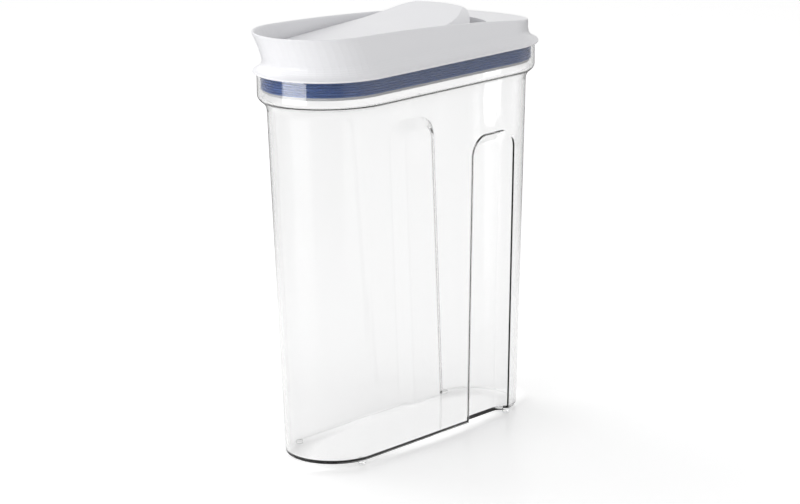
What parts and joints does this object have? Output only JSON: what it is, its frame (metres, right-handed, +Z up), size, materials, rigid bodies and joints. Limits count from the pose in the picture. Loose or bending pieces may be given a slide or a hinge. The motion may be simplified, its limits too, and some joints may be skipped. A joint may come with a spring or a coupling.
{
  "type": "cereal container with flip spout",
  "caption": "Tall clear oval cereal container with grip grooves in its long sides, and a push-on lid with a leaning pour lip and a rocking spout flap.",
  "frame": {"origin": "under the middle of the body, in the plane of the feet", "axes": "+Z up, +X towards the back of the lid, so the spout is at -X"},
  "size_m": [0.2536, 0.1032, 0.3079],
  "materials": {
    "clear_plastic": "clear, polished",
    "white_plastic": "satin",
    "flap_plastic": "satin",
    "frame_plastic": "matt",
    "gasket_silicone": "matt silicone",
    "pin_steel": "ground"
  },
  "bodies": {
    "container": {"container_body": "clear_plastic"},
    "lid": {"lid_cover": "white_plastic", "lid_frame": "frame_plastic", "lid_gasket": "gasket_silicone", "hinge_pin_near": "pin_steel", "hinge_pin_far": "pin_steel"},
    "flap": {"flap_cover": "flap_plastic", "flap_liner": "frame_plastic", "flap_gasket": "gasket_silicone"}
  },
  "joints": [
    {"name": "lid_lift", "type": "slide", "parent": "container", "child": "lid", "axis": [0, 0, 1], "range_m": [0, 0.08]},
    {"name": "flap_hinge", "type": "hinge", "parent": "lid", "child": "flap", "pos_m": [0.026, 0, 0.293], "axis": [0, 1, 0], "range_deg": [0, 85]}
  ]
}
